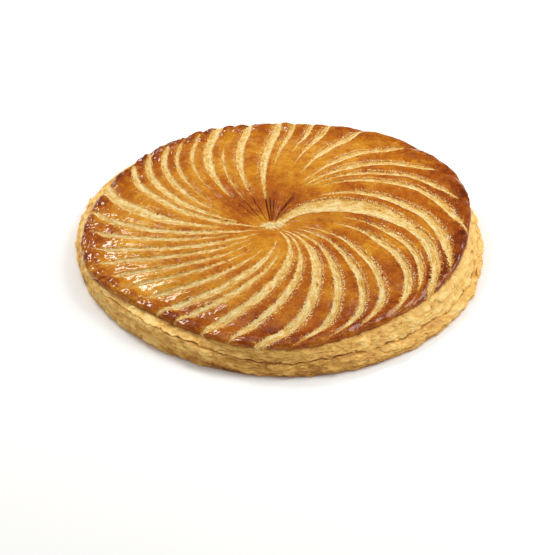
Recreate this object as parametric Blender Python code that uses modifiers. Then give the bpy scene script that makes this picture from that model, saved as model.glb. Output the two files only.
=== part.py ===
"""Galette des rois: a round puff pastry cake of 28 cm, scored with a swirl and baked in one piece.

Metres, +Z up. The cake rests on Z = 0 and its bounding box is centred on the Z axis.
Its front is -Y. Angles run anticlockwise from +X, seen from above.
"""

import math

import bmesh
import bpy
from mathutils import Vector

MM = 0.001

# Driving dimensions
LID_RADIUS = 130.0 * MM  # mean radius of the glazed lid at its edge
BASE_RADIUS = 140.0 * MM  # mean radius of the bottom sheet, which spreads past the lid
DOME_HEIGHT = 27.0 * MM  # top of the filled dome above the table
SWIRL_CENTRE = Vector((-4.5 * MM, -5.0 * MM))  # where the scores start; the baker's thumb was off centre

# The half section from the top of the axis, over the rim and down to the foot.
# The lid's points are shares of the lid radius and of the dome height, the base's of the base radius.
LID_SECTION = (
    (0.000, 0.763),
    (0.060, 0.785),
    (0.121, 0.855),
    (0.211, 0.933),
    (0.317, 0.981),
    (0.422, 1.000),
    (0.528, 0.993),
    (0.633, 0.956),
    (0.724, 0.896),
    (0.799, 0.822),
    (0.852, 0.763),
    (0.893, 0.733),  # valley where the filling ends
    (0.934, 0.752),  # raised rim
    (0.972, 0.726),
    (1.000, 0.644),  # edge of the glaze
    (1.005, 0.519),
    (0.998, 0.407),  # seam between the two sheets
)
BASE_SECTION = (
    (0.971, 0.356),
    (0.994, 0.259),
    (1.000, 0.133),
    (0.990, 0.033),
    (0.964, 0.000),  # foot, from here in it is flat
    (0.000, 0.000),
)
SEAM_SHARE = 0.407  # height of the seam as a share of the dome height
FOOT_SHARE = 0.01  # under this share of the dome height a point belongs to the flat underside

# The scores of the blade: the angle in degrees where each crosses SCORE_RADIUS, its width in mm, and the
# distances in mm from the swirl's centre between which it is open.
SCORE_RADIUS = 100.0 * MM
SCORES = (
    (-30, 5.5, 54, 122), (-20.5, 4.5, 58, 118), (-9, 9.5, 5, 126), (5.5, 6.0, 58, 126),
    (25, 5.0, 68, 130), (35, 4.5, 76, 130), (44.5, 4.5, 60, 130), (54.5, 4.0, 84, 130),
    (66, 4.5, 72, 130), (74.5, 4.0, 82, 130), (79.5, 3.5, 98, 130), (85.5, 3.5, 84, 130),
    (91, 5.5, 38, 130), (103, 4.5, 45, 130), (110.5, 2.5, 50, 97), (117.5, 5.5, 60, 130),
    (125, 3.0, 78, 124), (132.5, 3.0, 80, 124), (139, 4.0, 60, 124), (147, 5.0, 58, 124),
    (154.5, 5.0, 40, 124), (168.5, 6.0, 52, 126), (180, 4.5, 36, 126), (188, 4.0, 58, 122),
    (196.5, 4.0, 40, 122), (204, 4.0, 44, 121), (212, 3.5, 48, 119), (219, 3.0, 54, 115),
    (228, 4.0, 50, 115), (238, 5.0, 32, 119), (245.5, 4.5, 54, 120), (257.5, 6.0, 26, 123),
    (268.5, 6.0, 26, 125), (282, 6.0, 20, 130), (294, 5.5, 28, 125), (305.5, 5.0, 24, 123),
    (315, 5.5, 30, 122),
)
SCORE_DEPTH = 1.7 * MM
SCORE_FADE = 14.0 * MM  # length over which a score comes to its full width and depth
BAND_SWELL = 1.0 * MM  # how far the strips between the scores puff up
BAND_SHARES = (1 / 3, 2 / 3)  # where across a strip its two crown columns stand
SHUT_SHARE = 0.15  # of its full width that a score's line keeps where it is shut
WIDEST_SHARE = 0.3  # most of the space between two scores that half of an open score takes

# Slow waves round the cake: (waves in a turn, height of the wave, angle of its crest in degrees).
PITCH = 0.39  # degrees that a score turns for each mm outwards
PITCH_WAVES = ((1, 0.12, -86), (2, 0.10, -9), (3, 0.10, 11))
HOOK = 3.5  # further degrees that a score turns as it runs out over the last HOOK_LENGTH
HOOK_WAVES = ((1, 9.5, 0), (2, 6.5, -23))
HOOK_LENGTH = 30.0 * MM
LID_WAVES = (
    (1, 6.4 * MM, 48), (2, 2.8 * MM, 37), (3, 2.2 * MM, 41),
    (4, 2.3 * MM, 14), (5, 1.7 * MM, -24), (6, 1.0 * MM, 26),
)
BASE_WAVES = ((1, 1.2 * MM, -25), (2, 1.5 * MM, -73), (3, 1.2 * MM, 48))
RIM_LIFT_WAVES = ((1, 2.0 * MM, 28), (3, 0.8 * MM, 20), (7, 0.5 * MM, 10))
SEAM_WAVES = ((2, 0.8 * MM, 60), (5, 0.9 * MM, 12), (9, 0.5 * MM, 5))

COLUMNS_PER_SCORE = 3 + len(BAND_SHARES)
MERGE = 0.00001

CRUST_COLOUR = (0.62, 0.27, 0.06, 1.0)
CRUST_ROUGHNESS = 0.4


def clear_scene():
    for obj in list(bpy.data.objects):
        bpy.data.objects.remove(obj, do_unlink=True)


def waves(angle, terms):
    """The sum of some slow waves at an angle in degrees."""
    return sum(height * math.cos(math.radians(count * (angle - crest))) for count, height, crest in terms)


def smooth(value):
    """An ease from 0 to 1 as value goes from 0 to 1."""
    share = min(1.0, max(0.0, value))
    return share * share * (3 - 2 * share)


def crust_material():
    material = bpy.data.materials.new("baked_crust")
    material.use_nodes = True
    shader = material.node_tree.nodes["Principled BSDF"]
    shader.inputs["Base Color"].default_value = CRUST_COLOUR
    shader.inputs["Roughness"].default_value = CRUST_ROUGHNESS
    shader.inputs["Metallic"].default_value = 0.0
    return material


def section_points():
    """The half section as (radius, height), from the top of the axis to the middle of the underside."""
    lid = [(radius * LID_RADIUS, height * DOME_HEIGHT) for radius, height in LID_SECTION]
    base = [(radius * BASE_RADIUS, height * DOME_HEIGHT) for radius, height in BASE_SECTION]
    return lid + base


def turned_cake(collection):
    """The plain round cake: the half section turned round Z, with the same few columns to each score."""
    points = [(radius, 0, height) for radius, height in section_points()]
    edges = [(index, index + 1) for index in range(len(points) - 1)]
    mesh = bpy.data.meshes.new("section")
    mesh.from_pydata(points, edges, [])
    section = bpy.data.objects.new("section", mesh)
    collection.objects.link(section)
    screw = section.modifiers.new("turn", "SCREW")
    screw.axis = "Z"
    screw.angle = math.tau
    screw.steps = screw.render_steps = COLUMNS_PER_SCORE * len(SCORES)
    screw.use_merge_vertices = True
    screw.merge_threshold = MERGE
    graph = bpy.context.evaluated_depsgraph_get()
    turned = bpy.data.meshes.new_from_object(section.evaluated_get(graph))
    bpy.data.objects.remove(section)
    return turned


def lid_reach(share, angle):
    """Distance from the swirl's centre of the lid's ring that lies at a share of the way to its edge."""
    return share * LID_RADIUS + waves(angle, LID_WAVES) * min(1.0, share) ** 3


def score_angle(score, share):
    """The angle in degrees of a score's line on the ring at a share of the way out.

    Scores are counted on past a full turn, so that their angles keep growing.
    """
    turns, index = divmod(score, len(SCORES))
    start = SCORES[index][0]
    pitch = PITCH + waves(start, PITCH_WAVES)
    hook = HOOK + waves(start, HOOK_WAVES)

    def angle_at(radius):
        past = max(0.0, (radius - SCORE_RADIUS) / HOOK_LENGTH)
        return start + pitch * (SCORE_RADIUS - radius) / MM - hook * past**2

    return 360 * turns + angle_at(lid_reach(share, angle_at(share * LID_RADIUS)))


def score_strength(score, share):
    """How far a score is open on the ring at a share of the way out: 0 for shut, 1 for fully open."""
    _, _, begin, finish = SCORES[score % len(SCORES)]
    radius = share * LID_RADIUS
    return smooth((radius - begin * MM) / SCORE_FADE) * smooth((finish * MM - radius) / SCORE_FADE)


def half_mouth(score, share):
    """Half the angle in degrees that a score takes on the ring at a share of the way out."""
    width = SCORES[score % len(SCORES)][1] * MM * max(SHUT_SHARE, score_strength(score, share))
    gap = min(
        score_angle(score + 1, share) - score_angle(score, share),
        score_angle(score, share) - score_angle(score - 1, share),
    )
    return min(math.degrees(width / 2 / (share * LID_RADIUS)), WIDEST_SHARE * gap)


def column_place(column, share):
    """(angle in degrees, rise in metres) of a column of the cake on the ring at a share of the way out."""
    score, place = divmod(column, COLUMNS_PER_SCORE)
    strength = score_strength(score, share)
    if place == 0:
        return score_angle(score, share), -SCORE_DEPTH * strength
    near = score_angle(score, share) + half_mouth(score, share)
    far = score_angle(score + 1, share) - half_mouth(score + 1, share)
    if place == 1:
        return near, 0.0
    if place == COLUMNS_PER_SCORE - 1:
        return far, 0.0
    return near + (far - near) * BAND_SHARES[place - 2], BAND_SWELL * strength


def shaped(point):
    """Where a point of the plain cake goes: round the swirl, into its score, and out to the uneven rim."""
    radius = math.hypot(point.x, point.y)
    height = point.z
    on_base = height < (SEAM_SHARE - FOOT_SHARE) * DOME_HEIGHT
    if radius < MERGE:
        return Vector((0, 0, height)) if on_base else Vector((SWIRL_CENTRE.x, SWIRL_CENTRE.y, height))
    column = round(math.degrees(math.atan2(point.y, point.x)) % 360 / 360 * COLUMNS_PER_SCORE * len(SCORES))
    share = radius / LID_RADIUS
    inward = min(1.0, share)
    angle, rise = column_place(column, inward)
    turn = math.radians(angle)
    foot = height < FOOT_SHARE * DOME_HEIGHT
    if on_base:
        spread = radius + waves(angle, BASE_WAVES) * radius / BASE_RADIUS
        lift = 0.0 if foot else waves(angle, SEAM_WAVES) * height / (SEAM_SHARE * DOME_HEIGHT)
        return Vector((spread * math.cos(turn), spread * math.sin(turn), height + lift))
    spread = lid_reach(share, angle)
    on_seam = height < (SEAM_SHARE + FOOT_SHARE) * DOME_HEIGHT
    lift = waves(angle, SEAM_WAVES) if on_seam else waves(angle, RIM_LIFT_WAVES) * inward**2
    across = SWIRL_CENTRE.x + spread * math.cos(turn)
    along = SWIRL_CENTRE.y + spread * math.sin(turn)
    return Vector((across, along, height + rise + lift))


def centre_on_axis(mesh):
    """Moves the cake so that its bounding box is centred on the Z axis."""
    xs = [vertex.co.x for vertex in mesh.vertices]
    ys = [vertex.co.y for vertex in mesh.vertices]
    middle = Vector(((min(xs) + max(xs)) / 2, (min(ys) + max(ys)) / 2, 0))
    for vertex in mesh.vertices:
        vertex.co -= middle


def face_outwards(mesh):
    work = bmesh.new()
    work.from_mesh(mesh)
    bmesh.ops.remove_doubles(work, verts=work.verts, dist=MERGE)
    bmesh.ops.recalc_face_normals(work, faces=work.faces)
    work.to_mesh(mesh)
    work.free()


def make_galette(collection):
    mesh = turned_cake(collection)
    for vertex in mesh.vertices:
        vertex.co = shaped(vertex.co)
    centre_on_axis(mesh)
    face_outwards(mesh)
    mesh.name = "galette"
    mesh.materials.append(crust_material())
    mesh.shade_smooth()
    galette = bpy.data.objects.new("galette", mesh)
    collection.objects.link(galette)
    return galette


def main():
    clear_scene()
    collection = bpy.data.collections.new("galette_des_rois")
    bpy.context.scene.collection.children.link(collection)
    make_galette(collection)


main()
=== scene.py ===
"""Galette des rois: the finish of a round puff pastry cake, scored with a swirl, glazed and baked.

The glazed top, the flaky side and the loose flakes are each made by a Geometry Nodes tree that is
written here, with their sizes and colours kept as properties. Lengths in the trees are millimetres,
angles are degrees anticlockwise from +X, and the cake's front is -Y.
"""

import math

import bmesh
import bpy
import numpy as np
from bpy.props import FloatProperty, FloatVectorProperty, IntProperty, PointerProperty
from mathutils import Color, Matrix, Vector


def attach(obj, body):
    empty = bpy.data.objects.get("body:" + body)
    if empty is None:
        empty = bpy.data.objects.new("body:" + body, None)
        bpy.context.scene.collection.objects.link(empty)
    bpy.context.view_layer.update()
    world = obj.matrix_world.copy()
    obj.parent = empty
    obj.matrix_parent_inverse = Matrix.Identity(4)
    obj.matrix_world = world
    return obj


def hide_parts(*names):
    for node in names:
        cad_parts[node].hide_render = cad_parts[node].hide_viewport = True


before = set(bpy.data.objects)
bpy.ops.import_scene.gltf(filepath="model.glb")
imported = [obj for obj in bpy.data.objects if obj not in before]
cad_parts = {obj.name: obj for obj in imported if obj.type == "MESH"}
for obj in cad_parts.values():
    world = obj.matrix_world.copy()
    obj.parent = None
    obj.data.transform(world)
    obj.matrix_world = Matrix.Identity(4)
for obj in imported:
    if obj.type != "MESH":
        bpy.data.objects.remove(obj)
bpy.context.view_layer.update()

bl_info = {
    "name": "Galette des Rois",
    "version": (1, 0, 0),
    "blender": (4, 5, 0),
    "location": "View3D > Sidebar > Galette",
    "description": "Makes the glazed, scored and flaky surfaces of a puff pastry galette",
    "category": "Object",
}

MM = 0.001
DEGREE = math.pi / 180
NODE = "galette"

# The scores of the knife: the angle where each crosses SCORE_RADIUS, how wide it opened, and the
# distances from the swirl's centre between which it is open.
SCORE_RADIUS = 100.0
SCORES = (
    (-30, 5.5, 50, 124), (-20.5, 4.5, 56, 120), (-9, 8.0, 3, 128), (5.5, 6.5, 50, 128),
    (25, 5.0, 60, 134), (35, 4.5, 56, 134), (44.5, 5.2, 52, 133), (54.5, 5.5, 58, 134),
    (66, 5.5, 66, 136), (74.5, 4.5, 76, 138), (79.5, 4.0, 92, 138), (85.5, 4.0, 74, 138),
    (91, 6.0, 34, 138), (103, 6.0, 42, 134), (110.5, 2.5, 40, 100), (117.5, 7.0, 48, 138),
    (125, 3.5, 66, 128), (132.5, 3.5, 58, 128), (139, 5.0, 46, 128), (147, 5.5, 32, 130),
    (154.5, 5.5, 6, 128), (168.5, 8.0, 44, 142), (180, 5.0, 20, 130), (188, 4.5, 40, 124),
    (196.5, 4.5, 22, 124), (204, 4.5, 34, 124), (212, 4.2, 38, 122), (219, 4.0, 46, 117),
    (228, 4.5, 42, 116), (238, 6.0, 32, 122), (245.5, 5.0, 48, 122), (257.5, 6.5, 27, 126),
    (268.5, 5.2, 34, 128), (282, 7.0, 27, 136), (294, 5.5, 38, 128), (305.5, 5.0, 40, 126),
    (315, 5.0, 42, 124),
)
THREAD = 0.3  # how far a score is open where it starts as a fine thread
WIDEST_HALF = 0.36  # most and least of the way to the next score that half a score takes
NARROWEST_HALF = 0.06
EDGE_COLUMNS = 5.0  # columns of the mesh from a score's line to its edge

# One score tore open almost to the centre: its number, the most degrees that half of it took before
# it tore, what the tear adds as (from, to, mm), over how many degrees it pushes the other scores
# aside, and the share of it by which they all turn back.
SPLIT = 2
SPLIT_HALF = 2.6
TEAR = ((0.0, 9.0, 3.2), (12.0, 42.0, 2.8), (66.0, 112.0, -6.0))
TEAR_REACH = 40.0
TEAR_DRIFT = 0.3

# How many degrees a score turns for each mm towards the centre, and how much more it hooks back
# beyond SCORE_RADIUS.
PITCH = 0.39
HOOK = 3.5
HOOK_LENGTH = 30.0
# Slow waves round the cake: (waves in a turn, height of the wave, angle of its crest).
PITCH_WAVES = ((1, 0.12, -86), (2, 0.10, -9), (3, 0.10, 11))
HOOK_WAVES = ((1, 9.5, 0), (2, 6.5, -23))
LID_WAVES = ((1, 6.4, 48), (2, 2.8, 37), (3, 2.2, 41), (4, 2.3, 14), (5, 1.7, -24), (6, 1.0, 26))
BASE_WAVES = ((1, 1.2, -25), (2, 1.5, -73), (3, 1.2, 48))
RIM_LIFT_WAVES = ((1, 2.0, 28), (3, 0.8, 20), (7, 0.5, 10))
SEAM_WAVES = ((1, 3.0, 190), (2, 0.8, 60), (5, 0.9, 12), (9, 0.5, 5))

# Section of the glazed top: (share of its rings, share of the lid radius, share of the dome height).
TOP_SECTION = (
    (0.000, 0.000, 0.763),
    (0.040, 0.060, 0.785),
    (0.080, 0.121, 0.855),
    (0.140, 0.211, 0.933),
    (0.210, 0.317, 0.981),
    (0.280, 0.422, 1.000),
    (0.350, 0.528, 0.993),
    (0.420, 0.633, 0.956),
    (0.490, 0.724, 0.896),
    (0.560, 0.799, 0.822),
    (0.620, 0.852, 0.763),
    (0.680, 0.893, 0.733),
    (0.750, 0.934, 0.752),
    (0.830, 0.972, 0.732),
    (0.890, 0.993, 0.690),
    (0.925, 1.000, 0.630),
    (0.945, 0.990, 0.575),
    (0.960, 0.955, 0.560),
    (1.000, 0.000, 0.560),
)

# Section of the flaky side: (share of its rings, share of the way from the lid to the base, share of
# the rim height). The lid's sheet meets the base's at SEAM_LEVEL, and a finer line runs above it.
SIDE_SECTION = (
    (0.000, -1.00, 0.96),
    (0.040, -0.08, 0.96),
    (0.060, 0.00, 0.93),
    (0.200, 0.28, 0.80),
    (0.330, 0.50, 0.66),
    (0.430, 0.62, 0.56),
    (0.470, 0.67, 0.52),
    (0.510, 0.73, 0.48),
    (0.600, 0.92, 0.37),
    (0.720, 1.00, 0.22),
    (0.840, 1.00, 0.09),
    (0.900, 0.95, 0.01),
    (0.930, 0.80, 0.00),
    (1.000, -1.00, 0.00),
)
SEAM_LEVEL = 0.51
FINE_LEVEL = 0.7
SIDE_AREA = 0.020  # about, in square metres

# A loose leaf, as shares of its half length: half width, half thickness, and how far its ends and its
# sides bend down. Then the size and the depth of its torn edge in metres.
LEAF_WIDTH = 0.3
LEAF_THICKNESS = 0.03
LEAF_BEND = 0.05
LEAF_CURL = 0.1
TORN_SIZE = 1 / 550
TORN_DEPTH = 0.0010

# (name, azimuth, elevation, distance, width, height, the property that holds its power)
SOFTBOXES = (
    ("right_softbox", 18, 46, 1.2, 0.80, 0.60, "key_power"),
    ("left_softbox", 128, 44, 1.2, 0.40, 0.26, "glint_power"),
    ("top_softbox", 90, 78, 1.3, 0.90, 0.90, "top_power"),
)
LIGHT_COLOUR = (1.0, 0.965, 0.9)
LIGHT_TARGET = (0.0, 0.0, 0.02)
FLOOR_TINT = (0.97, 0.985, 1.0)
FLOOR_HALF_WIDTH = 6.0
FLOOR_DROP = 0.0002


# ---------------------------------------------------------------- trees and fields


class Field:
    """A value that varies over a surface. Arithmetic on it adds Math nodes to its tree."""

    def __init__(self, tree, socket):
        self.tree = tree
        self.socket = socket

    def __add__(self, other):
        return self.tree.math("ADD", self, other)

    def __sub__(self, other):
        return self.tree.math("SUBTRACT", self, other)

    def __rsub__(self, other):
        return self.tree.math("SUBTRACT", other, self)

    def __mul__(self, other):
        return self.tree.math("MULTIPLY", self, other)

    def __truediv__(self, other):
        return self.tree.math("DIVIDE", self, other)

    def __rtruediv__(self, other):
        return self.tree.math("DIVIDE", other, self)

    def __neg__(self):
        return self.tree.math("MULTIPLY", self, -1.0)

    __radd__ = __add__
    __rmul__ = __mul__


class Tree:
    """A node tree that is being written."""

    def __init__(self, nodes):
        self.nodes = nodes

    def node(self, kind, values=None, **settings):
        """Adds a node with its settings and fills the named inputs with numbers, fields or sockets."""
        node = self.nodes.nodes.new(kind)
        for name, setting in settings.items():
            setattr(node, name, setting)
        for name, value in (values or {}).items():
            self.feed(self.find(node.inputs, name), value)
        return node

    def find(self, sockets, name):
        if isinstance(name, int):
            return sockets[name]
        return next(socket for socket in sockets if socket.name == name and socket.enabled)

    def feed(self, socket, value):
        if isinstance(value, Field):
            self.nodes.links.new(value.socket, socket)
        elif isinstance(value, bpy.types.NodeSocket):
            self.nodes.links.new(value, socket)
        else:
            socket.default_value = value

    def field(self, node, output=0):
        return Field(self, self.find(node.outputs, output))

    def math(self, operation, *values, clamp=False):
        slots = dict(enumerate(values))
        return self.field(self.node("ShaderNodeMath", slots, operation=operation, use_clamp=clamp))

    def clamp(self, value):
        return self.math("ADD", value, 0.0, clamp=True)

    def least(self, first, second):
        return self.math("MINIMUM", first, second)

    def most(self, first, second):
        return self.math("MAXIMUM", first, second)

    def ease(self, value, low, high):
        """0 up to low, 1 from high on, and a smooth step between. High may be the lower of the two."""
        values = {"Value": value, "From Min": low, "From Max": high}
        return self.field(self.node("ShaderNodeMapRange", values, interpolation_type="SMOOTHSTEP"))

    def choose(self, test, when_true, when_false):
        """when_true where test is 1 and when_false where it is 0."""
        return when_false + (when_true - when_false) * test

    def bell(self, value, width):
        """1 where value is 0, falling away to both sides over about the width."""
        share = value / width
        return self.math("EXPONENT", -(share * share))

    def direction(self, angle):
        """Cosine and sine of an angle in degrees."""
        turn = angle * DEGREE
        return self.math("COSINE", turn), self.math("SINE", turn)

    def facing(self, angle, towards, low, high):
        """1 round the angle that it should face and 0 on the far side, eased between two cosines."""
        return self.ease(self.math("COSINE", (angle - towards) * DEGREE), low, high)

    def waves(self, angle, mean, terms):
        """A mean with slow waves on it, at an angle in degrees."""
        total = mean
        for count, height, crest in terms:
            turn = (angle - float(crest)) * (count * DEGREE)
            total = self.math("COSINE", turn) * height + total
        return total

    def curve(self, value, points):
        """A smooth curve through (value, result) points, all of them shares from 0 to 1."""
        node = self.node("ShaderNodeFloatCurve", {"Value": value})
        line = node.mapping.curves[0]
        line.points[0].location = points[0]
        line.points[1].location = points[-1]
        for place in points[1:-1]:
            line.points.new(*place)
        for point in line.points:
            point.handle_type = "AUTO_CLAMPED"
        node.mapping.update()
        return self.field(node)

    def vector(self, x=0.0, y=0.0, z=0.0):
        return self.field(self.node("ShaderNodeCombineXYZ", {"X": x, "Y": y, "Z": z}))

    def parts(self, vector):
        split = self.node("ShaderNodeSeparateXYZ", {0: vector})
        return [self.field(split, name) for name in "XYZ"]

    def vector_math(self, operation, *values, **named):
        slots = {**dict(enumerate(values)), **named}
        return self.field(self.node("ShaderNodeVectorMath", slots, operation=operation))

    def noise(self, place, size, detail=2.0, roughness=0.5, seed=0.0):
        """Soft noise from -1 to 1 with lumps of about the size given, in the units of place."""
        values = {"Vector": place, "W": seed, "Scale": 1.0 / size, "Detail": detail, "Roughness": roughness}
        node = self.node("ShaderNodeTexNoise", values, noise_dimensions="4D", normalize=False)
        return self.field(node)


def new_object(name, mesh):
    obj = bpy.data.objects.new(name, mesh)
    bpy.context.scene.collection.objects.link(obj)
    return obj


# The kind of a node group's input follows from its default value.
SOCKETS = {
    float: "NodeSocketFloat",
    int: "NodeSocketInt",
    tuple: "NodeSocketVector",
    type(None): "NodeSocketMaterial",
}


def group_tree(name, kind, inputs):
    """The tree of a new node group, with its named inputs under tree.given."""
    group = bpy.data.node_groups.new(name, kind)
    if kind == "GeometryNodeTree":
        for side in ("INPUT", "OUTPUT"):
            group.interface.new_socket("Geometry", in_out=side, socket_type="NodeSocketGeometry")
    for label, default in inputs.items():
        socket = group.interface.new_socket(label, in_out="INPUT", socket_type=SOCKETS[type(default)])
        if default is not None:
            socket.default_value = default
    tree = Tree(group)
    entry = group.nodes.new("NodeGroupInput")
    tree.given = {socket.name: Field(tree, socket) for socket in entry.outputs if socket.name}
    return tree


def finish_tree(tree, geometry, material):
    """Ends a geometry tree in Set Shade Smooth, Realize Instances and Set Material."""
    smooth = tree.node("GeometryNodeSetShadeSmooth", {"Geometry": geometry})
    real = tree.node("GeometryNodeRealizeInstances", {"Geometry": smooth.outputs[0]})
    coloured = tree.node("GeometryNodeSetMaterial", {"Geometry": real.outputs[0], "Material": material})
    exit_node = tree.nodes.nodes.new("NodeGroupOutput")
    tree.nodes.links.new(coloured.outputs[0], exit_node.inputs[0])


def store(tree, geometry, fields):
    """Stores named fields as attributes of the points."""
    for name, field in fields.items():
        values = {"Geometry": geometry, "Name": name, "Value": field}
        node = tree.node("GeometryNodeStoreNamedAttribute", values, data_type="FLOAT", domain="POINT")
        geometry = node.outputs[0]
    return geometry


def stored(tree, name):
    return tree.node("GeometryNodeInputNamedAttribute", {"Name": name}, data_type="FLOAT").outputs[0]


def sphere(tree, columns, rings):
    values = {"Segments": columns, "Rings": rings, "Radius": 1.0}
    return tree.node("GeometryNodeMeshUVSphere", values).outputs[0]


def grown(obj, tree, values):
    """Runs a tree on an object with the named input values, and leaves the result as its plain mesh."""
    modifier = obj.modifiers.new(tree.nodes.name, "NODES")
    modifier.node_group = tree.nodes
    for socket in tree.nodes.interface.items_tree:
        if socket.in_out == "INPUT" and socket.name in values:
            modifier[socket.identifier] = values[socket.name]
    obj.update_tag()
    bpy.context.view_layer.update()
    graph = bpy.context.evaluated_depsgraph_get()
    mesh = bpy.data.meshes.new_from_object(obj.evaluated_get(graph), depsgraph=graph)
    obj.modifiers.clear()
    obj.data = mesh
    mesh.name = obj.name


# ---------------------------------------------------------------- the cake's shape


def waves_at(angle, mean, terms):
    """The same slow waves as Tree.waves, worked out for one angle in Python."""
    turns = [(height, math.radians(count * (angle - crest))) for count, height, crest in terms]
    return mean + sum(height * math.cos(turn) for height, turn in turns)


def cake_middle(sizes):
    """Middle of the cake's outline before it is centred, in mm: the lid and the base are both uneven."""
    xs, ys = [], []
    swirl_centre = sizes.swirl_centre
    for angle in range(360):
        outlines = (
            (waves_at(angle, sizes.lid_radius / MM, LID_WAVES), swirl_centre),
            (waves_at(angle, sizes.base_radius / MM, BASE_WAVES), (0, 0)),
        )
        for distance, centre in outlines:
            xs.append(centre[0] + distance * math.cos(math.radians(angle)))
            ys.append(centre[1] + distance * math.sin(math.radians(angle)))
    return Vector(((min(xs) + max(xs)) / 2, (min(ys) + max(ys)) / 2, 0))


def score_points():
    """A mesh with one point for each score, which carries the score's numbers as attributes."""
    mesh = bpy.data.meshes.new("scores")
    mesh.from_pydata([(row[0], 0, 0) for row in SCORES], [], [])
    angles = [row[0] for row in SCORES]
    rows = {
        "angle": angles,
        "mouth": [row[1] for row in SCORES],
        "begin": [row[2] for row in SCORES],
        "finish": [row[3] for row in SCORES],
        "pitch": [waves_at(angle, PITCH, PITCH_WAVES) for angle in angles],
        "hook": [waves_at(angle, HOOK, HOOK_WAVES) for angle in angles],
    }
    for name, numbers in rows.items():
        layer = mesh.attributes.new(name, "FLOAT", "POINT")
        layer.data.foreach_set("value", numbers)
    return mesh


def lid_reach(tree, share, angle, lid_radius):
    """Distance from the swirl's centre of the ring that lies at a share of the way to the lid's edge."""
    return share * lid_radius + tree.waves(angle, 0.0, LID_WAVES) * share * share * share


def score_line(tree, scores, index, share, lid_radius):
    """A score's angle, slant, opening and half width on the ring at a share of the way out, as fields."""

    def told(name):
        values = {"Geometry": scores, "Value": stored(tree, name), "Index": index}
        return tree.field(tree.node("GeometryNodeSampleIndex", values, data_type="FLOAT", domain="POINT"))

    start = told("angle")
    pitch = told("pitch")
    hook = told("hook")
    begin = told("begin")
    finish = told("finish")

    def angle_at(radius):
        past = tree.most(radius - SCORE_RADIUS, 0.0) / HOOK_LENGTH
        return start + pitch * (SCORE_RADIUS - radius) - hook * past * past

    radius = lid_reach(tree, share, angle_at(share * lid_radius), lid_radius)
    past = tree.most(radius - SCORE_RADIUS, 0.0) / HOOK_LENGTH
    slant = (pitch + hook * past * (2 / HOOK_LENGTH)) * radius * DEGREE
    # A score starts as a fine thread, and the ones at the front start it nearest the centre.
    early = tree.ease(start, 240.0, 255.0) * 13.0
    thread = tree.ease(radius, begin - 16.0 - early, begin + 4.0 - early) * THREAD
    opening = thread + tree.ease(radius, begin, begin + 34.0) * (1.0 - THREAD)
    opening = opening * tree.ease(radius, finish + 2.0, finish - 14.0)
    return {
        "angle": angle_at(radius),
        "straightness": tree.math("INVERSE_SQRT", slant * slant + 1.0),
        "opening": opening,
        "half": told("mouth") * 0.5 * tree.math("POWER", opening, 0.8),
    }


def swirl(tree, scores, column, share, lid_radius, per_score):
    """Where a column of the glazed top lies in the swirl, on the ring at a share of the way out.

    Gives its angle, its distance to the nearest score's edge (negative inside the score), its distance
    to that score's line, how far the score is open there, and how far it is across the strip.
    """
    count = len(SCORES)
    on_band = per_score - 2 * EDGE_COLUMNS
    score = tree.math("FLOOR", (column + 0.5) / per_score)
    place = column - score * per_score
    following = tree.math("FLOORED_MODULO", score + 1.0, float(count))
    wrapped = tree.math("GREATER_THAN", score, count - 1.5) * 360.0
    near = score_line(tree, scores, score, share, lid_radius)
    far = score_line(tree, scores, following, share, lid_radius)
    far["angle"] = far["angle"] + wrapped
    gap = far["angle"] - near["angle"]
    arc = tree.most(share * lid_radius, 0.5) * DEGREE
    halves = []
    for line in (near, far):
        wide = line["half"] / (arc * line["straightness"])
        line["turn"] = tree.least(wide, gap * WIDEST_HALF)
        halves.append(tree.most(line["turn"], gap * NARROWEST_HALF))
    band = gap - halves[0] - halves[1]
    angle = near["angle"] + halves[0] * tree.clamp(place / EDGE_COLUMNS)
    angle = angle + band * tree.clamp((place - EDGE_COLUMNS) / on_band)
    angle = angle + halves[1] * tree.clamp((place - EDGE_COLUMNS - on_band) / EDGE_COLUMNS)
    from_near = (angle - near["angle"]) * arc * near["straightness"]
    from_far = (far["angle"] - angle) * arc * far["straightness"]
    edge_near = from_near - near["turn"] * arc * near["straightness"]
    edge_far = from_far - far["turn"] * arc * far["straightness"]
    nearer = tree.math("LESS_THAN", edge_near, edge_far)
    return {
        "angle": angle,
        "edge": tree.least(edge_near, edge_far),
        "line": tree.choose(nearer, from_near, -from_far),
        "open": tree.choose(nearer, near["opening"], far["opening"]),
        "across": from_near / (from_near + from_far),
        "strip": score,
    }


def torn(tree, scores, spot, share, lid_radius):
    """Widens the split score into a tear and pushes the rest of the swirl aside."""
    radius = tree.most(share * lid_radius, 0.5)
    line = score_line(tree, scores, SPLIT, share, lid_radius)
    arc = radius * DEGREE
    degree = arc * line["straightness"]
    half = tree.least(line["half"] / degree, SPLIT_HALF)
    offset = tree.math("FLOORED_MODULO", spot["angle"] - line["angle"] + 180.0, 360.0) - 180.0
    side = tree.math("SIGN", offset)
    away = tree.math("ABSOLUTE", offset)
    tear = 0.0
    for begin, end, wider in TEAR:
        tear = tree.ease(radius, begin, end) * wider + tear
    widening = tree.most(tear / degree - half, 0.0)
    inside = tree.math("LESS_THAN", away, half)
    part = away / half
    fading = tree.math("EXPONENT", (half - away) / TEAR_REACH)
    pushed = side * widening * tree.choose(inside, part, fading)
    spot["angle"] = spot["angle"] + pushed - widening * fading * TEAR_DRIFT
    width = (half + widening) * arc * line["straightness"]
    spot["edge"] = tree.choose(inside, (part - 1.0) * width, spot["edge"])
    spot["line"] = tree.choose(inside, part * width * side, spot["line"])
    return spot


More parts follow.
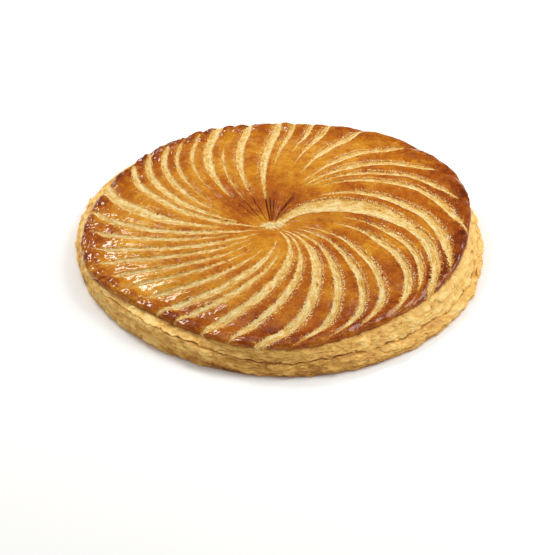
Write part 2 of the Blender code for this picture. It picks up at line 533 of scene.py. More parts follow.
def set_in_metres(tree, body, x, y, z, middle):
    """Sets the points of a body to (x, y, z) in mm, moved so that the cake's middle is on the Z axis."""
    offset = tree.vector_math("SUBTRACT", tree.vector(x, y, z), middle)
    place = tree.vector_math("SCALE", offset, Scale=MM)
    return tree.node("GeometryNodeSetPosition", {"Geometry": body, "Position": place}).outputs[0]


def ring_and_column(tree, columns):
    """The ring and the column of each point of a UV sphere, counted from its top."""
    cell = tree.field(tree.node("GeometryNodeInputIndex")) - 1.0
    # The small numbers keep rounding from moving a point to its neighbour's place.
    ring = tree.math("FLOOR", cell / columns + 0.00001) + 1.0
    return ring, tree.math("FLOORED_MODULO", cell + 0.001, columns)


def make_top_tree(sizes):
    """The glazed top: a sphere's rings and columns, laid along the swirl and raised to the baked shape."""
    inputs = {
        "Lid Radius": 130.0,
        "Dome Height": 27.0,
        "Columns per Score": 24,
        "Rings": 108,
        "Score Depth": 0.5,
        "Band Swell": 1.2,
        "Blisters": 0.5,
        "Place": (0.0, 0.0, 0.0),
        "Material": None,
    }
    tree = group_tree("swirl_top", "GeometryNodeTree", inputs)
    given = tree.given
    scores = given["Geometry"]
    lid_radius = given["Lid Radius"]
    per_score = given["Columns per Score"]
    columns = per_score * float(len(SCORES))
    ring, column = ring_and_column(tree, columns)
    ring_share = ring / given["Rings"]
    share = tree.curve(ring_share, [(place, radius) for place, radius, _ in TOP_SECTION])
    height = tree.curve(ring_share, [(place, height) for place, _, height in TOP_SECTION])
    over = tree.ease(ring_share, 0.955, 0.93)

    spot = swirl(tree, scores, column, share, lid_radius, per_score)
    spot = torn(tree, scores, spot, share, lid_radius)
    angle = spot["angle"]
    edge = spot["edge"]
    line = spot["line"]
    opened = spot["open"]
    cosine, sine = tree.direction(angle)
    plain = tree.most(lid_reach(tree, share, angle, lid_radius), 0.4)
    around = tree.vector(cosine * plain, sine * plain, 0.0)
    bulge = tree.noise(around, 15.0, detail=1.0, seed=10.0) * tree.ease(share, 0.86, 1.0) * 0.9
    ragged = tree.noise(around, 3.4, seed=3.0) * tree.ease(share, 0.94, 1.0) * 0.5
    radius = plain + (ragged + bulge) * over
    x = cosine * radius + sizes.swirl_centre[0]
    y = sine * radius + sizes.swirl_centre[1]
    flat = tree.vector(x, y, 0.0)
    x_off = x - sizes.swirl_centre[0]
    y_off = y - sizes.swirl_centre[1]

    # The rim puffed up into knuckles on the left, and the back is drawn into creases near the centre.
    left = tree.facing(angle, 170.0, -0.2, 0.75)
    back = tree.facing(angle, 105.0, 0.45, 0.95)
    rim = tree.ease(share, 0.86, 0.955)
    strips = tree.ease(radius, 8.0, 40.0)
    pillow = 1.0 - tree.math("EXPONENT", -(tree.most(edge, 0.0) / 3.2))
    valley = tree.ease(share, 0.78, 0.86) * tree.ease(share, 0.96, 0.9)
    swell = pillow * strips * given["Band Swell"] * (1.0 + rim * left * 0.4 - valley * 0.5)

    wall = tree.ease(-edge, -0.1, 0.9) * opened
    strip_seed = spot["strip"] * 3.7
    fibres = tree.noise(tree.vector(line, radius * 0.14, strip_seed), 0.8, detail=3.0, seed=5.0)
    crumbs = tree.noise(flat, 1.5, seed=6.0)
    curl = tree.bell(edge - 0.4, 0.9) * opened * (0.3 + crumbs * 0.45)

    whim = tree.noise(tree.vector(strip_seed, 0.0, 0.0), 1.0, seed=9.0)
    reach = 20.0 + whim * 44.0
    pinch = tree.bell(line + crumbs * 0.35, 0.42) * (1.0 - opened) * back
    pinch = pinch * tree.ease(radius, reach + 8.0, reach) * tree.ease(radius, 3.0, 9.0)
    pinch = pinch * tree.ease(whim, -0.25, 0.1)
    boss_reach = tree.math("SQRT", x_off * x_off * 0.45 + y_off * y_off * 1.3)
    boss = tree.bell(boss_reach, 6.0) * (1.6 + tree.noise(flat, 2.4, seed=8.0) * 2.4)

    slow = tree.noise(flat, 30.0, detail=1.0, seed=1.0) * 0.9
    lumpy = given["Blisters"] * (1.0 + rim * (0.4 + left * 1.6))
    lumps = tree.noise(flat, 9.0, seed=2.0) * lumpy
    blistered = given["Blisters"] * (0.4 + left * 0.4 + rim * (left * 0.9 - 0.25))
    blister = tree.noise(flat, 3.0, seed=4.0) * blistered
    relief = swell + curl - wall * given["Score Depth"] + wall * (fibres * 0.5 + crumbs * 0.5)
    relief = relief + slow + lumps + blister * (1.0 - wall) + boss - pinch * 0.9
    lift = tree.waves(angle, 0.0, RIM_LIFT_WAVES) * share * share
    top = height * given["Dome Height"] + lift + relief * over

    body = store(tree, sphere(tree, columns, given["Rings"]), {
        "edge": edge,
        "line": line,
        "run": radius,
        "share": share,
        "open": opened,
        "across": spot["across"],
        "pinch": pinch,
        "boss": boss_reach,
        "strip": strip_seed,
    })
    body = set_in_metres(tree, body, x, y, top, given["Place"])
    finish_tree(tree, body, given["Material"])
    return tree


def make_side_tree(sizes):
    """The flaky side with the underside: rings run from under the glaze over the seam to the foot."""
    inputs = {
        "Lid Radius": 130.0,
        "Base Radius": 140.0,
        "Rim Height": 18.5,
        "Columns": 1200,
        "Rings": 82,
        "Layer Thickness": 1.5,
        "Flakiness": 0.7,
        "Place": (0.0, 0.0, 0.0),
        "Material": None,
    }
    tree = group_tree("flaky_side", "GeometryNodeTree", inputs)
    given = tree.given
    columns = given["Columns"]
    ring, column = ring_and_column(tree, columns)
    share = ring / given["Rings"]
    angle = column / columns * 360.0
    cosine, sine = tree.direction(angle)

    # The way runs from the middle (-1) over the lid (0) to the base (1), and a curve holds 0 to 1.
    way = tree.curve(share, [(place, across / 2 + 0.5) for place, across, _ in SIDE_SECTION]) * 2.0 - 1.0
    level = tree.curve(share, [(place, height) for place, _, height in SIDE_SECTION])
    lid = tree.waves(angle, given["Lid Radius"] - 1.4, LID_WAVES)
    lid_x = cosine * lid + sizes.swirl_centre[0]
    lid_y = sine * lid + sizes.swirl_centre[1]
    base = tree.waves(angle, given["Base Radius"] - 0.8, BASE_WAVES)
    out = tree.most(way, 0.0)
    inward = tree.least(way + 1.0, 1.0)
    plain_x = (lid_x + (cosine * base - lid_x) * out) * inward
    plain_y = (lid_y + (sine * base - lid_y) * out) * inward

    around = tree.vector(cosine * 135.0, sine * 135.0, 0.0)
    seam = tree.waves(angle, 0.0, SEAM_WAVES) + tree.noise(around, 13.0, seed=11.0) * 1.7
    lift = tree.waves(angle, 0.0, RIM_LIFT_WAVES)
    standing = tree.ease(level, 0.0, 0.16)
    near_seam = tree.bell(level - 0.5, 0.22) * standing
    high = level * given["Rim Height"] + lift * tree.ease(level, 0.5, 1.0) + seam * near_seam

    wall = tree.ease(share, 0.045, 0.08) * tree.ease(share, 0.91, 0.86)
    skin = tree.vector(plain_x, plain_y, high)
    wobble = tree.noise(around, 9.0, seed=12.0) * 1.8
    layer = tree.math("FRACT", (high + wobble) / given["Layer Thickness"])
    leaves = tree.ease(layer, 0.0, 0.75) - tree.ease(layer, 0.8, 1.0)
    patches = tree.ease(tree.noise(skin, 6.0, seed=13.0), -0.35, 0.35)
    stretched = tree.vector(plain_x, plain_y, high * 3.2)
    folds = tree.math("ABSOLUTE", tree.noise(stretched, 13.0, seed=14.0))
    crumple = folds * 3.4 - 1.0 + tree.noise(stretched, 22.0, detail=1.0, seed=18.0) * 1.4
    grain = tree.noise(skin, 1.7, seed=15.0) * 0.14
    gape = tree.ease(tree.noise(around, 11.0, seed=17.0), -0.5, 0.4)
    crack = tree.bell(level - SEAM_LEVEL, 0.018) * (0.3 + gape * 0.8)
    outward = ((leaves * patches * 0.9 + crumple + grain) * given["Flakiness"] - crack) * wall
    x = plain_x + cosine * outward
    y = plain_y + sine * outward
    droop = tree.noise(skin, 4.5, seed=16.0) * 0.9 * wall * standing
    top = tree.most(high + droop, 0.0)

    attributes = {"level": level, "leaf": leaves * patches, "fold": folds, "depth": outward}
    body = store(tree, sphere(tree, columns, given["Rings"]), attributes)
    body = set_in_metres(tree, body, x, y, top, given["Place"])
    finish_tree(tree, body, given["Material"])
    return tree


def random_number(tree, low, high, seed):
    values = {2: low, 3: high, "Seed": seed}
    return tree.field(tree.node("FunctionNodeRandomValue", values, data_type="FLOAT"), 1)


def random_vector(tree, low, high, seed):
    values = {"Min": low, "Max": high, "Seed": seed}
    return tree.field(tree.node("FunctionNodeRandomValue", values, data_type="FLOAT_VECTOR"))


def leaf_plate(tree):
    """One leaf: a flattened sphere, bent down at its ends and its sides."""
    x, y, z = tree.parts(tree.field(tree.node("GeometryNodeInputPosition")))
    sag = z * LEAF_THICKNESS - x * x * LEAF_BEND - y * y * LEAF_CURL
    bent = tree.vector(x, y * LEAF_WIDTH, sag)
    values = {"Geometry": sphere(tree, 9, 5), "Position": bent}
    return tree.node("GeometryNodeSetPosition", values).outputs[0]


def make_leaf_tree():
    """Loose leaves of pastry: small bent plates, strewn over the flaky side and turned to lie along it."""
    inputs = {
        "Leaves": 420.0,
        "Leaf Length": 11.0,
        "Seed": 3,
        "Material": None,
    }
    tree = group_tree("loose_leaves", "GeometryNodeTree", inputs)
    given = tree.given
    level = Field(tree, stored(tree, "level"))
    position = tree.field(tree.node("GeometryNodeInputPosition"))
    upright = tree.parts(tree.field(tree.node("GeometryNodeInputNormal")))[2]
    bare = tree.ease(level, 0.20, 0.26) * tree.ease(level, 0.93, 0.86) * tree.ease(upright, 0.98, 0.8)
    density = bare * given["Leaves"] * (1 / SIDE_AREA)
    spread = tree.node("GeometryNodeDistributePointsOnFaces", {
        "Mesh": given["Geometry"], "Density": density, "Seed": given["Seed"]})

    x, y, _ = tree.parts(position)
    tangent = tree.vector(-y, x, 0.0)
    shaky = random_vector(tree, (-0.03,) * 3, (0.03,) * 3, 5)
    tilt = random_vector(tree, (-0.3, -0.3, -0.1), (0.3, 0.3, 0.9), 6)
    course = tree.vector_math("ADD", tangent, shaky)
    facing = tree.vector_math("ADD", spread.outputs["Normal"], tilt)
    along = tree.node("FunctionNodeAlignRotationToVector", {"Vector": course}, axis="X")
    lying = tree.node("FunctionNodeAlignRotationToVector", {
        "Rotation": along.outputs[0], "Vector": facing}, axis="Z", pivot_axis="X")
    size = random_number(tree, 0.35, 1.0, 7)
    strewn = tree.node("GeometryNodeInstanceOnPoints", {
        "Points": spread.outputs["Points"],
        "Instance": leaf_plate(tree),
        "Rotation": lying.outputs[0],
        "Scale": size * size * given["Leaf Length"] * (MM / 2),
    })
    tinted = tree.node("GeometryNodeStoreNamedAttribute", {
        "Geometry": strewn.outputs[0], "Name": "tint", "Value": random_number(tree, -1.0, 1.0, 8),
    }, data_type="FLOAT", domain="INSTANCE")
    real = tree.node("GeometryNodeRealizeInstances", {"Geometry": tinted.outputs[0]})
    torn_edge = tree.node("ShaderNodeTexNoise", {
        "Vector": position, "Scale": 1 / TORN_SIZE, "Detail": 1.0}, noise_dimensions="3D").outputs["Color"]
    shift = tree.vector_math("SUBTRACT", torn_edge, (0.5, 0.5, 0.5))
    shift = tree.vector_math("SCALE", shift, Scale=TORN_DEPTH)
    ripped = tree.node("GeometryNodeSetPosition", {"Geometry": real.outputs[0], "Offset": shift})
    finish_tree(tree, ripped.outputs[0], given["Material"])
    return tree


# ---------------------------------------------------------------- finishes


def new_material(name, roughness, coat_roughness=0.2):
    """A material, its tree and its Principled shader with the numbers that are the same all over."""
    material = bpy.data.materials.new(name)
    material.use_nodes = True
    shader = material.node_tree.nodes["Principled BSDF"]
    shader.inputs["Roughness"].default_value = roughness
    shader.inputs["Coat Roughness"].default_value = coat_roughness
    shader.inputs["Metallic"].default_value = 0.0
    return material, Tree(material.node_tree), shader


def attribute(tree, name):
    return tree.field(tree.node("ShaderNodeAttribute", attribute_name=name), "Fac")


def millimetres(tree):
    """Object coordinates in millimetres."""
    place = tree.node("ShaderNodeTexCoord").outputs["Object"]
    return tree.vector_math("SCALE", place, Scale=1 / MM)


def ramp(tree, value, stops):
    """A colour that runs through (position, colour) stops."""
    node = tree.node("ShaderNodeValToRGB", {"Fac": value})
    band = node.color_ramp
    while len(band.elements) < len(stops):
        band.elements.new(0.5)
    for element, (position, colour) in zip(band.elements, stops):
        element.position = position
        element.color = (*colour, 1.0)
    return tree.field(node)


def blend(tree, share, first, second):
    """Mixes two colours, by a share of the second."""
    node = tree.node("ShaderNodeMix", data_type="RGBA", clamp_factor=True)
    tree.feed(node.inputs[0], share)
    tree.feed(node.inputs[6], colour_value(first))
    tree.feed(node.inputs[7], colour_value(second))
    return Field(tree, node.outputs[2])


def colour_value(colour):
    return colour if isinstance(colour, Field) else (*colour, 1.0)


def bump(tree, height, distance):
    values = {"Strength": 1.0, "Distance": distance * MM, "Height": height}
    return tree.field(tree.node("ShaderNodeBump", values))


def oven_mottle():
    """The uneven browning and the grain of all baked pastry: broad clouds, mottle and fine grain."""
    if "oven_mottle" in bpy.data.node_groups:
        return bpy.data.node_groups["oven_mottle"]
    inputs = {
        "Place": (0.0, 0.0, 0.0),
        "Cloud Size": 24.0,
        "Mottle Size": 5.0,
        "Grain Size": 1.1,
    }
    tree = group_tree("oven_mottle", "ShaderNodeTree", inputs)
    out = tree.nodes.nodes.new("NodeGroupOutput")
    # (name, detail, roughness, seed)
    for name, detail, roughness, seed in (
            ("Cloud", 2.0, 0.5, 24.0), ("Mottle", 4.0, 0.6, 25.0), ("Grain", 3.0, 0.55, 32.0)):
        tree.nodes.interface.new_socket(name, in_out="OUTPUT", socket_type="NodeSocketFloat")
        noise = tree.noise(tree.given["Place"], tree.given[name + " Size"], detail, roughness, seed)
        tree.feed(out.inputs[name], noise)
    return tree.nodes


def mottled(tree, place, cloud, mottle, grain):
    """Places the oven_mottle group in a material, with its sizes in mm."""
    values = {"Place": place, "Cloud Size": cloud, "Mottle Size": mottle, "Grain Size": grain}
    node = tree.node("ShaderNodeGroup", node_tree=oven_mottle())
    for name, value in values.items():
        tree.feed(node.inputs[name], value)
    return [Field(tree, node.outputs[name]) for name in ("Cloud", "Mottle", "Grain")]


def glaze_finish(colours):
    """Egg-glazed crust: gold to dark brown and glossy, with pale fibrous pastry where the scores opened."""
    material, tree, shader = new_material("glazed_crust", 0.4, 0.13)
    shader.inputs["Specular IOR Level"].default_value = 0.12
    shader.inputs["Specular Tint"].default_value = (1.0, 0.72, 0.4, 1.0)
    shader.inputs["Coat Tint"].default_value = (1.0, 0.93, 0.78, 1.0)
    place = millimetres(tree)
    cloud, mottle, grain = mottled(tree, place, 22.0, 4.5, 0.9)
    names = ("edge", "line", "run", "share", "open", "across", "pinch", "bake")
    edge, line, run, share, opened, across, pinch, bake = (attribute(tree, name) for name in names)

    # The bare pastry: where a score or the boss at the centre is open, with a toothed edge and fibres.
    tooth = tree.noise(place, 1.5, detail=3.0, roughness=0.7, seed=21.0)
    fibre = tree.noise(tree.vector(line, run * 0.12, 0.0), 0.6, detail=3.0, roughness=0.6, seed=22.0)
    boss = tree.ease(attribute(tree, "boss") + tooth * 3.0, 6.0, 4.0)
    mouth = tree.ease(edge + tooth * 1.5 + mottle * 0.8, 0.3, -0.3) * tree.ease(opened, 0.03, 0.2)
    cut = tree.most(mouth, boss)
    # Painted light: the side of a score that faces the lights is painted paler.
    painted_light_side = tree.ease(line, 1.6, -1.8)
    crisp = tree.ease(-edge + tooth * 0.8, 0.5, -0.3) * 0.3 * (1.0 - boss)
    paleness = 0.66 + fibre * 0.36 + grain * 0.26 + mottle * 0.3 + painted_light_side * 0.2 + boss * 0.2 - crisp
    pale = ramp(tree, tree.clamp(paleness), (
        (0.0, colours.score_brown),
        (0.3, colours.score_tan),
        (0.62, colours.score_gold),
        (1.0, colours.score_cream),
    ))

    # The glaze: darker on the crowns of the strips, the rim and the creases, and beside the scores on the
    # right, partly browning and partly painted shade.
    weave = tree.vector(across * 2.0, run, attribute(tree, "strip"))
    streak = tree.noise(weave, 1.9, detail=3.0, seed=26.0) * tree.ease(run, 28.0, 70.0)
    # Darker beside the scores: partly browning and partly painted shade where the strips curve down.
    browning_and_shade_beside = tree.math("EXPONENT", -(tree.most(edge, 0.0) / 2.4)) * opened
    east = tree.ease(tree.parts(place)[0], -70.0, 30.0)
    middle = 1.0 - tree.math("ABSOLUTE", across * 2.0 - 1.0)
    rim = tree.ease(share, 0.88, 0.97)
    crown = tree.ease(middle + mottle * 0.4, 0.2, 0.8)
    tone = 0.32 + cloud * 0.26 + mottle * 0.15 + streak * 0.07 + grain * 0.05 + bake
    tone = tone + crown * opened * 0.07 + browning_and_shade_beside * east * 0.1 + rim * crown * 0.12 + pinch * 0.5
    glaze = ramp(tree, tree.clamp(tone), (
        (0.0, colours.glaze_light),
        (0.26, colours.glaze_gold),
        (0.5, colours.glaze_amber),
        (0.76, colours.glaze_brown),
        (1.0, colours.glaze_dark),
    ))

    # Painted highlights: cream flecks along the outer side of the scores, most of all on the right, stand
    # in for crumbs catching the light.
    spray = tree.noise(place, 0.8, detail=1.0, seed=28.0)
    outer = tree.bell(edge - 0.9, 1.5) * opened * tree.ease(line, -0.5, 0.5)
    painted_glints = tree.ease(spray + outer * (0.22 + east * 0.26), 0.55, 0.72)
    glaze = blend(tree, painted_glints * 0.9, glaze, colours.score_cream)
    tree.feed(shader.inputs["Base Color"], blend(tree, cut, glaze, pale))

    gloss = 0.13 + tree.ease(share - east * 0.1, 0.7, 0.86) * 0.6
    tree.feed(shader.inputs["Roughness"], 0.42 + cut * 0.3 + mottle * 0.08)
    tree.feed(shader.inputs["Coat Weight"], (1.0 - cut) * gloss)
    wrinkle = tree.noise(place, 1.4, detail=4.0, roughness=0.6, seed=27.0)
    relief = wrinkle * (1.0 - cut) * (1.0 + rim * 0.3) + streak * 0.4 + (fibre * 1.3 + grain * 1.0) * cut
    tree.feed(shader.inputs["Normal"], bump(tree, relief, 0.26))
    return material


def bare_pastry(tree, shader, colours, tone, roughness, relief, distance):
    """Colours unglazed pastry by its tone, from 0 in brown cracks to 1 on pale edges, and roughens it."""
    colour = ramp(tree, tree.clamp(tone), (
        (0.0, colours.side_brown),
        (0.32, colours.side_tan),
        (0.64, colours.side_gold),
        (1.0, colours.side_pale),
    ))
    tree.feed(shader.inputs["Base Color"], colour)
    tree.feed(shader.inputs["Roughness"], roughness)
    tree.feed(shader.inputs["Normal"], bump(tree, relief, distance))


def side_finish(colours):
    """The flaky side: pale gold leaves, painted shade in the hollows and creases, and browner at the seam
    and the foot.
    """
    material, tree, shader = new_material("flaky_pastry", 0.7)
    x, y, z = tree.parts(millimetres(tree))
    cloud, mottle, grain = mottled(tree, tree.vector(x, y, z * 2.6), 18.0, 5.0, 1.3)
    names = ("level", "leaf", "depth", "fold", "bake")
    level, leaf, depth, fold, bake = (attribute(tree, name) for name in names)
    foot = tree.ease(level, 0.26, 0.02)
    under = tree.ease(level, 0.52, 0.44)
    seam = tree.bell(level - SEAM_LEVEL + mottle * 0.012, 0.02)
    fine = tree.bell(level - FINE_LEVEL - cloud * 0.05, 0.012) * tree.ease(mottle, -0.3, 0.2)
    lip = tree.ease(level, 0.84, 0.93)
    crease_shade = tree.ease(fold, 0.07, 0.0)
    # Painted shade: the tone is darker in the hollows, by depth, and in the creases of the folds.
    tone = 0.66 + depth * 0.14 + leaf * 0.14 + cloud * 0.12 + mottle * 0.17 + grain * 0.1 - crease_shade * 0.14
    tone = tone - foot * 0.2 - under * 0.12 - seam * 0.42 - fine * 0.25 - lip * 0.3 - bake
    bare_pastry(tree, shader, colours, tone, 0.62 + grain * 0.1, grain * 0.5 + mottle * 0.5, 0.16)
    return material


def leaf_finish(colours):
    """Thin leaves that came loose from the side, each with a tint of its own."""
    material, tree, shader = new_material("loose_leaf", 0.66)
    _, mottle, grain = mottled(tree, millimetres(tree), 18.0, 3.0, 0.8)
    tone = 0.64 + attribute(tree, "tint") * 0.08 + mottle * 0.16 + grain * 0.1
    bare_pastry(tree, shader, colours, tone, 0.6 + grain * 0.1, grain, 0.15)
    return material


# Places of the top that baked darker or stayed lighter:
# (angle, distance from the middle, size along, size across, amount).
TOP_BAKE = (
    (139, 126, 9, 9, 0.34),
    (151, 127, 10, 10, 0.34),
    (168, 129, 9, 8, 0.36),
    (182, 131, 6, 9, 0.34),
    (195, 131, 8, 7, 0.26),
    (212, 128, 18, 6, 0.16),
    (236, 123, 22, 7, 0.16),
    (262, 120, 26, 12, 0.22),
    (285, 114, 30, 16, 0.16),
    (305, 117, 26, 12, 0.24),
    (328, 118, 18, 12, 0.30),
    (345, 122, 22, 13, 0.26),
    (5, 128, 24, 12, 0.28),
    (25, 133, 22, 9, 0.32),
    (45, 136, 24, 7, 0.30),
    (75, 133, 24, 7, 0.24),
    (105, 130, 24, 6, 0.26),
    (128, 127, 20, 7, 0.30),
    (92, 22, 24, 18, 0.26),
    (142, 30, 24, 14, 0.16),
    (350, 48, 40, 20, 0.10),
    (10, 104, 40, 18, 0.10),
    (285, 70, 40, 22, 0.05),
    (212, 110, 34, 12, -0.26),
    (185, 92, 44, 25, -0.12),
    (80, 84, 50, 24, -0.06),
)
# The whole rim baked darker: by how much, and the distances over which that sets in.
TOP_RIM_BAKE = 0.07
RIM_FROM = 100
RIM_WIDTH = 24
# The same for the side, which is painted palest at the right and darkest at the front.
SIDE_DARKENING = (
    (268, 138, 80, 20, 0.14),
    (218, 138, 60, 20, -0.08),
    (330, 138, 70, 20, -0.10),
    (10, 138, 60, 20, -0.10),
    (90, 138, 120, 20, 0.05),
)


def paint_darkening(piece, spots, rim_amount):
    """Stores how much darker each point of a piece is painted than the rest, as a point attribute."""
    mesh = piece.data
    place = np.empty(len(mesh.vertices) * 3, np.float32)
    mesh.vertices.foreach_get("co", place)
    x, y, _ = place.reshape(-1, 3).T / MM
    angle = np.degrees(np.arctan2(y, x))
    radius = np.hypot(x, y)
    bake = rim_amount * np.clip((radius - RIM_FROM) / RIM_WIDTH, 0, 1)
    for spot_angle, spot_radius, long, wide, amount in spots:
        turn = (angle - spot_angle + 180) % 360 - 180
        along = np.radians(turn) * spot_radius
        bake += amount * np.exp(-((along / long) ** 2) - ((radius - spot_radius) / wide) ** 2)
    layer = mesh.attributes.new("bake", "FLOAT", "POINT")
    layer.data.foreach_set("value", bake.astype(np.float32))


# ---------------------------------------------------------------- properties


def length(name, description, value, **more):
    return FloatProperty(name=name, description=description, default=value, unit="LENGTH", **more)


def linear(value):
    """A colour given as 0 to 255 on a screen, as the linear shares that a shader takes."""
    return tuple(Color([part / 255 for part in value]).from_srgb_to_scene_linear())


def colour(name, description, value):
    return FloatVectorProperty(
        name=name, description=description, default=linear(value), subtype="COLOR", min=0.0, max=1.0)


def power(name, place, value):
    return FloatProperty(name=name, description=f"Power of the {place} softbox in watts", default=value)


class GaletteSizes(bpy.types.PropertyGroup):
    """Sizes of the cake."""

    lid_radius: length("Lid Radius", "Mean radius of the glazed lid", 0.1300)
    base_radius: length("Base Radius", "Mean radius of the bottom sheet", 0.1400)
    dome_height: length("Dome Height", "Top of the dome above the table", 0.0270)
    rim_height: length("Rim Height", "Height of the flaky side under the glaze", 0.0182)
    score_depth: length("Score Depth", "Depth of an opened score", 0.0005)
    band_swell: length("Band Swell", "How far the strips between scores puff up", 0.0012)
    layer_thickness: length("Layer Thickness", "Thickness of a leaf of the puff pastry", 0.0015)
    leaf_length: length("Leaf Length", "Length of the largest loose leaf at the side", 0.0110)
    leaf_count: IntProperty(name="Leaves", description="Loose leaves at the side", default=420)
    swirl_centre: FloatVectorProperty(
        name="Swirl Centre", description="Where the scores start, in mm", size=2, default=(-4.5, -5.0))


class GaletteColours(bpy.types.PropertyGroup):
    """Colours of the baked pastry."""

    glaze_light: colour("Glaze Light", "Thinly baked glaze", (230, 172, 62))
    glaze_gold: colour("Glaze Gold", "Golden glaze", (206, 138, 32))
    glaze_amber: colour("Glaze Amber", "Well baked glaze", (178, 96, 14))
    glaze_brown: colour("Glaze Brown", "Brown glaze of the rim", (140, 58, 12))
    glaze_dark: colour("Glaze Dark", "Darkest spots of the rim and the creases", (92, 34, 10))
    score_cream: colour("Score Cream", "Palest pastry in an opened score", (255, 234, 172))
    score_gold: colour("Score Gold", "Usual pastry in an opened score", (236, 188, 100))
    score_tan: colour("Score Tan", "Shaded pastry in an opened score", (206, 142, 54))
    score_brown: colour("Score Brown", "Toasted edges of an opened score", (152, 80, 16))
    side_pale: colour("Side Pale", "Edges of the leaves at the side", (255, 224, 142))
    side_gold: colour("Side Gold", "Usual colour of the side", (240, 188, 94))
    side_tan: colour("Side Tan", "Hollows of the side", (200, 138, 50))
    side_brown: colour("Side Brown", "Cracks of the side and its foot", (134, 72, 14))


class GaletteStage(bpy.types.PropertyGroup):
    """Lights and camera."""

    elevation: FloatProperty(
        name="Camera Elevation", description="How far the camera looks down",
        default=math.radians(36.43), subtype="ANGLE")
    distance: length("Camera Distance", "From the camera to the point it looks at", 1.4585)
    aim: FloatVectorProperty(
        name="Camera Aim", description="Point that the camera looks at",
        default=(-0.0026, -0.0344, 0.0), subtype="TRANSLATION")
    lens: FloatProperty(name="Lens", description="Focal length in mm", default=141.15)
    key_power: power("Right Light", "right", 8.3)
    glint_power: power("Left Light", "left", 6.6)
    top_power: power("Top Light", "overhead", 2.5)
    sky: FloatProperty(name="Sky", description="Strength of the even light from all round", default=0.46)


# ---------------------------------------------------------------- operators


def claim(piece):
    """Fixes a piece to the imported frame, in place of the CAD model's node."""
    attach(piece, "root")
    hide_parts(NODE)


def in_millimetres(sizes, *names):
    """The named sizes in mm, each under its label, which is the name of a tree's input too."""
    return {sizes.bl_rna.properties[name].name: getattr(sizes, name) / MM for name in names}


class GALETTE_OT_glazed_top(bpy.types.Operator):
    """Makes the glazed top with its swirl of opened scores"""

    bl_idname = "galette.glazed_top"
    bl_label = "Glazed Top"

    def execute(self, context):
        sizes = context.scene.galette_sizes
        top = new_object("glazed_top", score_points())
        grown(top, make_top_tree(sizes), {
            **in_millimetres(sizes, "lid_radius", "dome_height", "score_depth", "band_swell"),
            "Place": cake_middle(sizes),
            "Material": glaze_finish(context.scene.galette_colours),
        })
        paint_darkening(top, TOP_BAKE, TOP_RIM_BAKE)
        claim(top)
        return {"FINISHED"}


class GALETTE_OT_flaky_side(bpy.types.Operator):
    """Makes the flaky side of the lid and base, with the underside"""

    bl_idname = "galette.flaky_side"
    bl_label = "Flaky Side"

    def execute(self, context):
        sizes = context.scene.galette_sizes
        side = new_object("flaky_side", bpy.data.meshes.new("flaky_side"))
        grown(side, make_side_tree(sizes), {
            **in_millimetres(sizes, "lid_radius", "base_radius", "rim_height", "layer_thickness"),
            "Place": cake_middle(sizes),
            "Material": side_finish(context.scene.galette_colours),
        })
        paint_darkening(side, SIDE_DARKENING, 0.0)
        claim(side)
        return {"FINISHED"}


class GALETTE_OT_loose_leaves(bpy.types.Operator):
    """Strews loose leaves of pastry over the flaky side"""

    bl_idname = "galette.loose_leaves"
    bl_label = "Loose Leaves"

    def execute(self, context):
        sizes = context.scene.galette_sizes
        side = bpy.data.objects.get("flaky_side")
        if side is None:
            raise RuntimeError("the flaky side is made before its loose leaves")
        leaves = new_object("loose_leaves", side.data.copy())
        grown(leaves, make_leaf_tree(), {
            **in_millimetres(sizes, "leaf_length"),
            "Leaves": float(sizes.leaf_count),
            "Material": leaf_finish(context.scene.galette_colours),
        })
        claim(leaves)
        return {"FINISHED"}


def away_from(azimuth, elevation):
    """The unit vector towards an azimuth and an elevation in radians."""
    level = math.cos(elevation)
    return Vector((math.cos(azimuth) * level, math.sin(azimuth) * level, math.sin(elevation)))


def aimed(obj, target, away, distance):
    """Puts a light or a camera at a distance from its target and turns it to look at it."""
    obj.location = target + away * distance
    obj.rotation_euler = away.to_track_quat("Z", "Y").to_euler()


def make_floor():
    material, tree, shader = new_material("pale_floor", 0.9)
    shader.inputs["Specular IOR Level"].default_value = 0.0
    grain = tree.noise(millimetres(tree), 60.0, detail=1.0, seed=41.0)
    shade = 0.975 + grain * 0.005
    tree.feed(shader.inputs["Base Color"], tree.vector(*(shade * part for part in FLOOR_TINT)))
    mesh = bpy.data.meshes.new("floor")
    work = bmesh.new()
    bmesh.ops.create_grid(work, x_segments=1, y_segments=1, size=FLOOR_HALF_WIDTH)
    work.to_mesh(mesh)
    work.free()
    mesh.materials.append(material)
    floor = new_object("floor", mesh)
    floor.location.z = -FLOOR_DROP


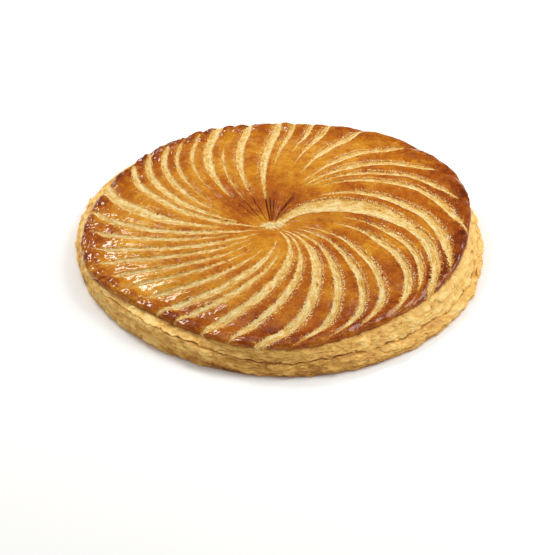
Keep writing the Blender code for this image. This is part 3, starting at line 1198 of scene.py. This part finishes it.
def make_lights(stage):
    """Softboxes, and an even white sky that glossy surfaces don't mirror."""
    world = bpy.data.worlds.new("studio")
    world.use_nodes = True
    background = world.node_tree.nodes["Background"]
    background.inputs["Color"].default_value = (1.0, 1.0, 1.0, 1.0)
    background.inputs["Strength"].default_value = stage.sky
    world.cycles_visibility.glossy = False
    bpy.context.scene.world = world
    for name, azimuth, elevation, distance, width, height, source in SOFTBOXES:
        light = bpy.data.lights.new(name, "AREA")
        light.shape = "RECTANGLE"
        light.size = width
        light.size_y = height
        light.energy = getattr(stage, source)
        light.color = LIGHT_COLOUR
        away = away_from(math.radians(azimuth), math.radians(elevation))
        aimed(new_object(name, light), Vector(LIGHT_TARGET), away, distance)


def make_camera(stage):
    camera = bpy.data.cameras.new("camera")
    camera.lens = stage.lens
    camera.sensor_width = 36.0
    camera.clip_end = 50.0
    eye = new_object("camera", camera)
    aimed(eye, Vector(stage.aim), away_from(-math.pi / 2, stage.elevation), stage.distance)
    bpy.context.scene.camera = eye


class GALETTE_OT_stage(bpy.types.Operator):
    """Makes the floor, the soft lights and the camera"""

    bl_idname = "galette.stage"
    bl_label = "Stage"

    def execute(self, context):
        stage = context.scene.galette_stage
        make_floor()
        make_lights(stage)
        make_camera(stage)
        context.scene.view_settings.view_transform = "Standard"
        return {"FINISHED"}


class GALETTE_PT_panel(bpy.types.Panel):
    """Lists what makes the cake, and its sizes and colours"""

    bl_idname = "GALETTE_PT_panel"
    bl_label = "Galette des Rois"
    bl_space_type = "VIEW_3D"
    bl_region_type = "UI"
    bl_category = "Galette"

    def draw(self, context):
        for operator in OPERATORS:
            self.layout.operator(operator.bl_idname)
        for kind in GROUPS:
            group = getattr(context.scene, kind)
            box = self.layout.box()
            for name in group.bl_rna.properties.keys():
                if name not in ("rna_type", "name"):
                    box.prop(group, name)


OPERATORS = (GALETTE_OT_stage, GALETTE_OT_glazed_top, GALETTE_OT_flaky_side, GALETTE_OT_loose_leaves)
GROUPS = {"galette_sizes": GaletteSizes, "galette_colours": GaletteColours, "galette_stage": GaletteStage}


def register():
    for entry in (*GROUPS.values(), *OPERATORS, GALETTE_PT_panel):
        bpy.utils.register_class(entry)
    for name, group in GROUPS.items():
        setattr(bpy.types.Scene, name, PointerProperty(type=group))


def unregister():
    for name in GROUPS:
        delattr(bpy.types.Scene, name)
    for entry in (GALETTE_PT_panel, *OPERATORS, *GROUPS.values()):
        bpy.utils.unregister_class(entry)


def main():
    register()
    bpy.ops.galette.stage()
    bpy.ops.galette.glazed_top()
    bpy.ops.galette.flaky_side()
    bpy.ops.galette.loose_leaves()


if __name__ == "__main__":
    main()
